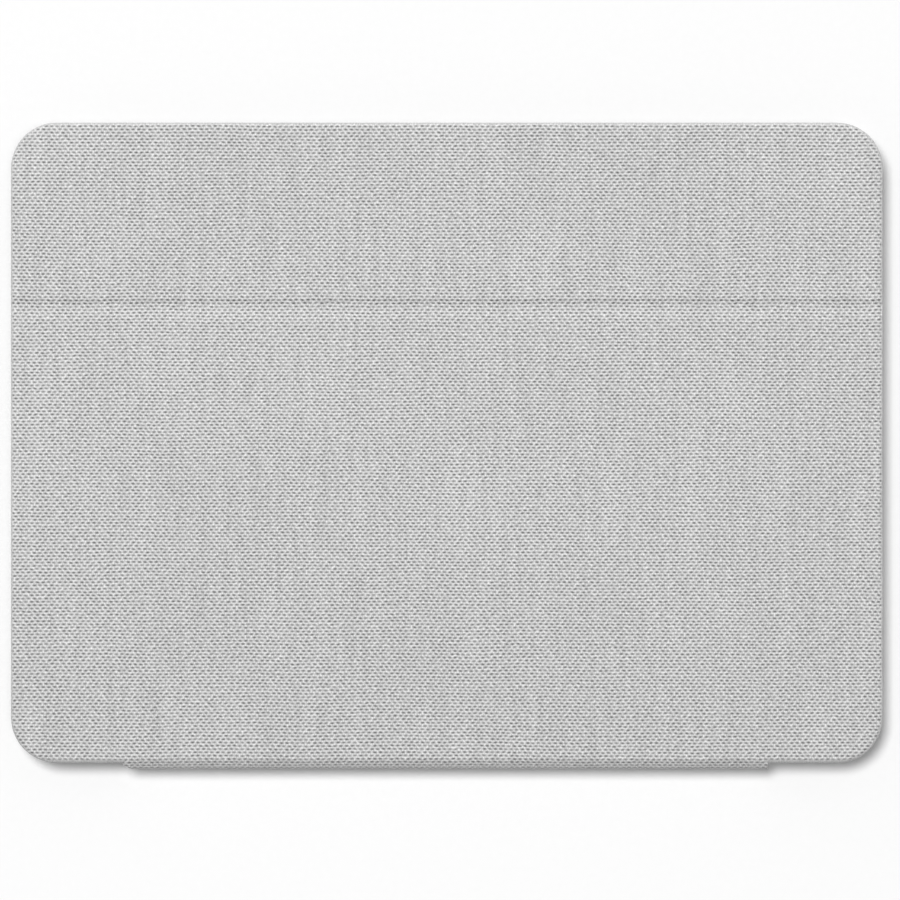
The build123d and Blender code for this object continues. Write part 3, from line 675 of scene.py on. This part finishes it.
def paint_strip(obj, outer, inner):
    """The weave runs on over the spine, with painted shade round the bend."""
    run = lengths_along(outer) + lengths_along(inner)[::-1]
    length = lengths_along(outer)[-1]
    from_front = outer[0][1] < mid_z
    start_v = notch_y / MM
    where = []
    openness = []
    shade = []
    for vertex in obj.data.vertices:
        s = run[vertex.index % len(run)]
        v = start_v - 2 * length + s if from_front else start_v - s
        where.append((vertex.co.x / MM, v))
        openness.append(ramp(s, STRIP_OPENNESS))
        # painted shade round the bend of the strip
        shade.append(ramp(s, STRIP_SHADE))
    paint_weave(obj, where, openness, shade)


def path_from(points):
    """Smooth path through (distance beyond the cover's edge, depth below its face) points in mm."""
    return smooth_path([(-half_y - beyond * MM, case_z - depth * MM) for beyond, depth in points])


def upper_paths():
    """Outer and inner faces of the back cover's strip, from the notch over the corner to mid-height."""
    out = (-half_y - spine_low.y) / MM
    into = (-half_y - spine_high.y) / MM
    start = (-half_y - notch_y) / MM
    middle = (case_z - mid_z) / MM
    thick = fabric_t / MM
    outer = [(start, 0.0), (-0.75, 0.05), (-0.3, 0.28), (0.45, 0.72), (1.1, 1.18), (out - 0.28, 1.72),
             (out - 0.06, 2.35), (out, 3.2), (out, middle)]
    inner = [(start, thick), (-0.75, thick), (-0.35, 0.85), (0.1, 1.2), (0.6, 1.6), (into - 0.12, 2.2),
             (into - 0.02, 2.8), (into, 3.4), (into, middle)]
    return path_from(outer), path_from(inner)


def lining_paths():
    """The lining's own strip, from the cover's lining round the inside of the corner to mid-height."""
    face_at = (-half_y - spine_lining_high.y) / MM
    back_at = (-half_y - spine_lining_low.y) / MM
    start = (-half_y - hem_notch_y) / MM + 0.03
    top = (case_z - lining_z) / MM
    middle = (case_z - mid_z) / MM
    thick = 0.4
    face = [(start, top), (start + 0.9, top), (start + 1.6, top + 0.02), (start + 2.05, top + 0.22),
            (face_at - 0.04, top + 0.62), (face_at, top + 1.2), (face_at, middle)]
    back = [(start, top - thick), (start + 0.9, top - thick), (start + 1.65, top - 0.37),
            (start + 2.35, top - 0.08), (back_at - 0.05, top + 0.5), (back_at, top + 1.2), (back_at, middle)]
    return path_from(face), path_from(back)


def mirrored(path):
    """The same path on the front cover."""
    return [(y, case_z - z) for y, z in path]


def make_spine():
    """Fabric and lining of the spine, each in two halves, from each cover to mid-height."""
    skin_bend = (-half_y - 0.05 * MM, -half_y - 1.05 * MM)
    lining_bend = (-half_y + 0.6 * MM, -half_y - 0.15 * MM)
    lining_half = spine_lining_high.x
    # name, node, paths, half width, share of the cut end's shape, material, start and end of the bend
    layers = [
        ("spine_strip", "spine_skin", upper_paths(), spine_half, 1.0, "weave", skin_bend),
        ("spine_lining", "spine_lining", lining_paths(), lining_half, 0.9, "lining", lining_bend),
    ]
    for name, node, (outer, inner), half, end_scale, key, (bend_from, bend_to) in layers:
        sides = (("_back", outer, inner, "stand_panel"),
                 ("_front", mirrored(outer), mirrored(inner), "keyboard_base"))
        for side, outer_path, inner_path, body in sides:
            obj = strip(name + side, outer_path, inner_path, half, end_scale, materials[key])
            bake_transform(obj)
            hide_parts(node)


# ---------------------------------------------------------------- back cover lining
def make_back_lining():
    """One sheet over both halves of the back cover, with a window for the grip pad."""
    gap = 0.1 * MM
    window_depth = 0.04 * MM
    bm = bmesh.new()
    loops = []
    for inset, depth in ((2.26, 0.0), (2.2, 0.05), (2.2, 0.44), (2.26, 0.48)):
        z = lining_high.z - depth * MM
        loops.append([(x, y, z) for x, y in outline(inset * MM)])
    loft(bm, loops)
    obj = object_from(bm, "back_cover_lining", materials["lining"])
    subtract(obj, (grip_low.x - gap, grip_low.y - gap, lining_low.z - 1 * MM),
             (grip_high.x + gap, grip_high.y + gap, grip_high.z + window_depth))
    cut_round_fold(obj, 3.0 * MM, 20)
    finish_shading(obj)
    bend_at_fold(obj)
    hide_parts("stand_lining", "holder_lining")


# ---------------------------------------------------------------- pads
def make_deck_pad():
    """Soft pad let into the rear deck, with a rolled rim."""
    corner = 5.85 * MM
    top = pad_high.z
    section = ((0.0, pad_low.z), (0.0, top - 0.12 * MM), (0.05 * MM, top - 0.05 * MM), (0.16 * MM, top),
               (1.0 * MM, top))
    bm = bmesh.new()
    loft(bm, raised_outline(pad_low.x, pad_high.x, pad_low.y, pad_high.y, corner, section))
    obj = object_from(bm, "deck_pad_soft", materials["pad"])
    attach(obj, "keyboard_base")
    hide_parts("deck_pad")


def make_grip_pad():
    """Thin rubber pad with a plain rim and shallow grooves across its face, which looks down when closed."""
    corner = 3.8 * MM
    rim = 1.6 * MM
    groove_depth = 0.12 * MM
    groove_count = 9
    rows_per_groove = 8
    face = grip_low.z
    section = ((0.0, grip_high.z), (0.0, face + 0.06 * MM), (0.02 * MM, face + 0.02 * MM), (0.07 * MM, face),
               (rim - 0.1 * MM, face), (rim, face))
    bm = bmesh.new()
    loft(bm, raised_outline(grip_low.x, grip_high.x, grip_low.y, grip_high.y, corner, section))
    obj = object_from(bm, "holder_grip_pad_ribbed", materials["grip"])
    first = grip_low.y + rim
    span = grip_high.y - rim - first
    count = groove_count * rows_per_groove
    cut_rows(obj, [first + span * i / count for i in range(1, count)])
    for vertex in obj.data.vertices:
        x, y, z = vertex.co
        from_edge = min(x - grip_low.x, grip_high.x - x, y - grip_low.y, grip_high.y - y)
        if z < face + 0.01 * MM and from_edge > rim - 0.02 * MM:
            turns = groove_count * (y - first) / span
            vertex.co.z += groove_depth * (0.5 - 0.5 * math.cos(2 * math.pi * turns))
    finish_shading(obj)
    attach(obj, "holder_panel")
    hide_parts("holder_grip_pad")


# ---------------------------------------------------------------- key caps and their printed signs
ROW_SIGNS = {
    "number_row_keys": ["`", "1", "2", "3", "4", "5", "6", "7", "8", "9", "0", "-", "="],
    "top_letter_keys": list("QWERTYUIOP") + ["[", "]", "\\"],
    "home_letter_keys": list("ASDFGHJKL") + [";", "'"],
    "bottom_letter_keys": list("ZXCVBNM") + [",", ".", "/"],
    "modifier_keys": ["fn", "ctrl", "alt", "cmd", "cmd", "alt"],
    "backspace_key": ["delete"],
    "tab_key": ["tab"],
    "caps_key": ["caps"],
    "enter_key": ["enter"],
    "left_shift_key": ["shift"],
    "right_shift_key": ["shift"],
    "space_bar": [""],
    "left_key": ["left"],
    "right_key": ["right"],
    "up_key": ["up"],
    "down_key": ["down"],
}
ARROWS = {"left": 180, "right": 0, "up": 90, "down": 270}
FULL_CAP = 10 * MM
SIGN_THICKNESS = 0.03 * MM


def islands(obj):
    """Low and high corners of a node's separate solids, from the user's left (+X) to the right."""
    parent = list(range(len(obj.data.vertices)))

    def root(i):
        while parent[i] != i:
            parent[i] = parent[parent[i]]
            i = parent[i]
        return i

    for edge in obj.data.edges:
        a, b = root(edge.vertices[0]), root(edge.vertices[1])
        parent[a] = b
    boxes = {}
    for vertex in obj.data.vertices:
        low, high = boxes.setdefault(root(vertex.index), ([1.0] * 3, [-1.0] * 3))
        for a in range(3):
            low[a] = min(low[a], vertex.co[a])
            high[a] = max(high[a], vertex.co[a])
    # a solid can have several sets of joined edges; each lies inside the box of its largest
    merged = []
    for low, high in sorted(boxes.values(), key=lambda b: -(b[1][0] - b[0][0])):
        middle = [(low[a] + high[a]) / 2 for a in (0, 1)]
        holder = [m for m in merged if all(m[0][a] <= middle[a] <= m[1][a] for a in (0, 1))]
        if holder:
            for a in range(3):
                holder[0][0][a] = min(holder[0][0][a], low[a])
                holder[0][1][a] = max(holder[0][1][a], high[a])
        else:
            merged.append((low, high))
    return sorted(merged, key=lambda b: -b[0][0])


def middle_of(low, high):
    """Middle of a box, seen from above."""
    return (low[0] + high[0]) / 2, (low[1] + high[1]) / 2


def cap_loops(low, high):
    """Dished key cap: hollow underside, straight skirt, rounded shoulder, shallow dish on top."""
    section = [(1.05, 0.70), (1.0, 0.0), (0.06, 0.0), (0.0, 0.06), (0.0, 0.95), (0.05, 1.16), (0.17, 1.34),
               (0.36, 1.45), (0.62, 1.49), (1.0, 1.475), (1.7, 1.43), (2.5, 1.395)]
    radius = 1.3 * MM
    smallest_r = 0.35 * MM
    narrowest = 0.6 * MM
    loops = []
    for inset, rise in section:
        i = min(inset * MM, (high[1] - low[1]) / 2 - narrowest)
        corner = max(radius - 0.45 * i, smallest_r)
        ring = box_outline(low[0] + i, high[0] - i, low[1] + i, high[1] - i, corner, steps=5)
        loops.append([(x, y, low[2] + rise * MM) for x, y in ring])
    return loops


def arrow_sign(bm, heading, x, y, z, size):
    """Printed arrow, as a thin raised plate."""
    angle = math.radians(heading) + math.pi
    tail, neck, tip = -0.55, 0.05, 0.65
    shaft, barb = 0.16, 0.45
    upper_half = [(neck, barb), (neck, shaft), (tail, shaft)]
    shape = [(px, -py) for px, py in reversed(upper_half)] + [(tip, 0.0)] + upper_half
    ring = []
    for px, py in shape:
        turned_x = px * math.cos(angle) - py * math.sin(angle)
        turned_y = px * math.sin(angle) + py * math.cos(angle)
        ring.append((x + turned_x * size, y + turned_y * size))
    loft(bm, [[(px, py, level) for px, py in ring] for level in (z, z + SIGN_THICKNESS)])


def text_sign(bm, text, x, y, z, size):
    """Printed letters, thin and raised, read from the user's side (+Y)."""
    curve = bpy.data.curves.new("sign", "FONT")
    curve.body = text
    curve.size = size
    curve.align_x = "CENTER"
    curve.align_y = "CENTER"
    curve.extrude = SIGN_THICKNESS / 2
    curve.resolution_u = 3
    holder = bpy.data.objects.new("sign", curve)
    bpy.context.scene.collection.objects.link(holder)
    depsgraph = bpy.context.evaluated_depsgraph_get()
    mesh = bpy.data.meshes.new_from_object(holder.evaluated_get(depsgraph))
    mesh.transform(Matrix.Translation((x, y, z + SIGN_THICKNESS / 2)) @ Matrix.Rotation(math.pi, 4, "Z"))
    bm.from_mesh(mesh)
    bpy.data.objects.remove(holder)
    bpy.data.meshes.remove(mesh)


def make_keys():
    """Caps of each key node, and the signs printed on them."""
    sign_rise = 1.40 * MM
    letter, word, arrow, small_arrow = 5.6 * MM, 3.4 * MM, 3.0 * MM, 2.2 * MM
    for node, signs in ROW_SIGNS.items():
        caps = bmesh.new()
        printed = bmesh.new()
        for (low, high), text in zip(islands(frame["nodes"][node]), signs):
            loft(caps, cap_loops(low, high))
            x, y = middle_of(low, high)
            z = low[2] + sign_rise
            if text in ARROWS:
                size = small_arrow if high[1] - low[1] < FULL_CAP else arrow
                arrow_sign(printed, ARROWS[text], x, y, z, size)
            elif text:
                text_sign(printed, text, x, y, z, word if len(text) > 1 else letter)
        cap_obj = object_from(caps, node + "_caps", materials["keys"])
        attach(cap_obj, node)
        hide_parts(node)
        if any(signs):
            bmesh.ops.remove_doubles(printed, verts=printed.verts, dist=1e-6)
            sign_obj = object_from(printed, node + "_signs", materials["legend"])
            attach(sign_obj, node)
        else:
            printed.free()


# ---------------------------------------------------------------- domes and links under the keys
def key_at(x, y, boxes_of):
    """The key node whose cap covers a point."""
    for node, boxes in boxes_of.items():
        for low, high in boxes:
            if low[0] <= x <= high[0] and low[1] <= y <= high[1]:
                return node
    raise ValueError("no key above a link")


def dome_loops(x, y, radius, low_z, high_z, steps=20):
    """Silicone dome: spreading foot, waisted collapsing wall, flat crown with a rounded shoulder."""
    rise = high_z - low_z
    section = [(1.0, 0.0), (1.0, 0.08), (0.93, 0.16), (0.84, 0.40), (0.76, 0.62), (0.68, 0.76), (0.62, 0.84),
               (0.60, 0.94), (0.54, 0.985), (0.40, 1.0)]
    loops = []
    for share, height in section:
        loops.append([(x + radius * share * math.cos(2 * math.pi * i / steps),
                       y + radius * share * math.sin(2 * math.pi * i / steps),
                       low_z + rise * height) for i in range(steps)])
    return loops


def bar(bm, start, end, half_w, half_t):
    """Round-cornered bar between two points, for the frames of the links."""
    along = (end - start).normalized()
    side = along.cross(Vector((0, 0, 1))).normalized()
    up = side.cross(along)
    ring = []
    for sx, sy in ((1, 0.6), (0.6, 1), (-0.6, 1), (-1, 0.6), (-1, -0.6), (-0.6, -1), (0.6, -1), (1, -0.6)):
        ring.append(side * (half_w * sx) + up * (half_t * sy))
    loft(bm, [[start + p for p in ring], [end + p for p in ring]])


def link_frames(bm, low, high):
    """Outer and inner frames crossing at mid-height, built to the box of the CAD links."""
    half_t = 0.26 * MM
    half_w = 0.38 * MM
    inner_share = 0.79
    short_frame = 7 * MM
    size = high - low
    margin = 0.45 * MM if size.y <= short_frame else 0.1 * MM
    middle = (low + high) / 2
    for width, lean in ((size.x, 1), (size.x * inner_share, -1)):
        x = width / 2 - half_w
        y = size.y / 2 - half_w - margin
        z = (size.z / 2 - half_t - 0.05 * MM) * lean
        corners = [middle + Vector(c) for c in ((-x, -y, -z), (x, -y, -z), (x, y, z), (-x, y, z))]
        for a, b in zip(corners, corners[1:] + corners[:1]):
            reach = (b - a).normalized() * half_w
            bar(bm, a - reach, b + reach, half_w, half_t)


def press_set(bm, name, replaced, material):
    """A set of domes or links, fixed to the keyboard base in a mesh of its own."""
    obj = object_from(bm, name, materials[material])
    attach(obj, "keyboard_base")
    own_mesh(obj)
    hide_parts(replaced)


def make_dome_carrier(sheet_low, sheet_high, sheet_top):
    """Flat sheet that the domes stand on."""
    corner = 6 * MM
    section = ((0.0, sheet_low.z), (0.0, sheet_top))
    bm = bmesh.new()
    loft(bm, raised_outline(sheet_low.x, sheet_high.x, sheet_low.y, sheet_high.y, corner, section))
    sheet = object_from(bm, "dome_carrier", materials["domes"])
    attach(sheet, "keyboard_base")
    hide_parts("dome_sheet")


def make_mechanism():
    """Dome and link sets, one per key body."""
    full_radius, small_radius = 2.3 * MM, 1.3 * MM
    sunk = 0.02 * MM
    boxes_of = {node: islands(frame["nodes"][node]) for node in ROW_SIGNS}
    sheet_low, sheet_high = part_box("dome_sheet")
    carrier_t = 0.15 * MM
    sheet_top = sheet_low.z + carrier_t
    make_dome_carrier(sheet_low, sheet_high, sheet_top)
    links = {}
    for low, high in islands(frame["nodes"]["scissor_links"]):
        x, y = middle_of(low, high)
        links.setdefault(key_at(x, y, boxes_of), []).append((Vector(low), Vector(high)))
    for node, boxes in boxes_of.items():
        domes = bmesh.new()
        for low, high in boxes:
            x, y = middle_of(low, high)
            radius = full_radius if high[1] - low[1] > FULL_CAP else small_radius
            loft(domes, dome_loops(x, y, radius, sheet_top - sunk, sheet_high.z))
        press_set(domes, node + "_domes", "dome_sheet", "domes")
        frames = bmesh.new()
        for low, high in links[node]:
            link_frames(frames, low, high)
        press_set(frames, node + "_links", "scissor_links", "links")


make_back_fabric()
make_front_fabric()
make_spine()
make_back_lining()
make_deck_pad()
make_grip_pad()
make_keys()
make_mechanism()


# ---------------------------------------------------------------- stage
def make_floor():
    """Pale paper just below the case."""
    floor_half = 6.0
    below = 0.02 * MM
    bm = bmesh.new()
    bmesh.ops.create_grid(bm, x_segments=2, y_segments=2, size=floor_half)
    mesh = bpy.data.meshes.new("floor")
    bm.to_mesh(mesh)
    bm.free()
    floor = bpy.data.objects.new("floor", mesh)
    floor.location.z = -below
    bpy.context.scene.collection.objects.link(floor)
    g = Graph("floor_paper", "floor")
    fine = g.noise(g.place(), 500.0, 2.0)
    mesh.materials.append(g.finish(Base_Color=g.mix(fine, grey(0.86), grey(0.88)), Roughness=0.9,
                                   Specular_IOR_Level=0.1))


def add_area(name, position, size, power):
    """Round soft light aimed at the object, of a diameter in metres and a power in watts."""
    light = bpy.data.lights.new(name, "AREA")
    light.shape = "DISK"
    light.size = size
    light.energy = power
    obj = bpy.data.objects.new(name, light)
    obj.location = position
    obj.rotation_euler = (-Vector(position)).to_track_quat("-Z", "Y").to_euler()
    bpy.context.scene.collection.objects.link(obj)
    return obj


def make_light():
    """Two soft lamps overhead, a low one from the free edge, and a little light from all round."""
    surround = 0.20
    scene = bpy.context.scene
    scene.world = bpy.data.worlds.new("studio")
    scene.world.use_nodes = True
    background = scene.world.node_tree.nodes["Background"]
    background.inputs["Color"].default_value = (1, 1, 1, 1)
    background.inputs["Strength"].default_value = surround
    add_area("key_light", (-0.85, 1.05, 6.0), 1.75, 305.0)
    add_area("fill_light", (0.45, -0.30, 6.0), 1.27, 56.0)
    # low light from the free edge brings out the crease and the weave; the floor does not receive it
    raking = add_area("raking_light", (-0.8, 5.6, 2.05), 2.0, 120.0)
    raking.data.use_shadow = False
    receivers = bpy.data.collections.new("raking_receivers")
    receivers.objects.link(bpy.data.objects["floor"])
    raking.light_linking.receiver_collection = receivers
    receivers.collection_objects[0].light_linking.link_state = "EXCLUDE"
    scene.view_settings.view_transform = "Standard"
    scene.view_settings.look = "None"


def make_camera():
    """Long lens above the case, looking straight down, a little beside and before its middle."""
    scene = bpy.context.scene
    camera = bpy.data.cameras.new("camera")
    camera.lens = 277.0
    camera.sensor_width = 36.0
    camera.clip_end = 20.0
    height = 2.0
    beside, before = 0.9 * MM, 2.08 * MM
    obj = bpy.data.objects.new("camera", camera)
    obj.location = (beside, -before, height)
    scene.collection.objects.link(obj)
    scene.camera = obj


make_floor()
make_light()
make_camera()
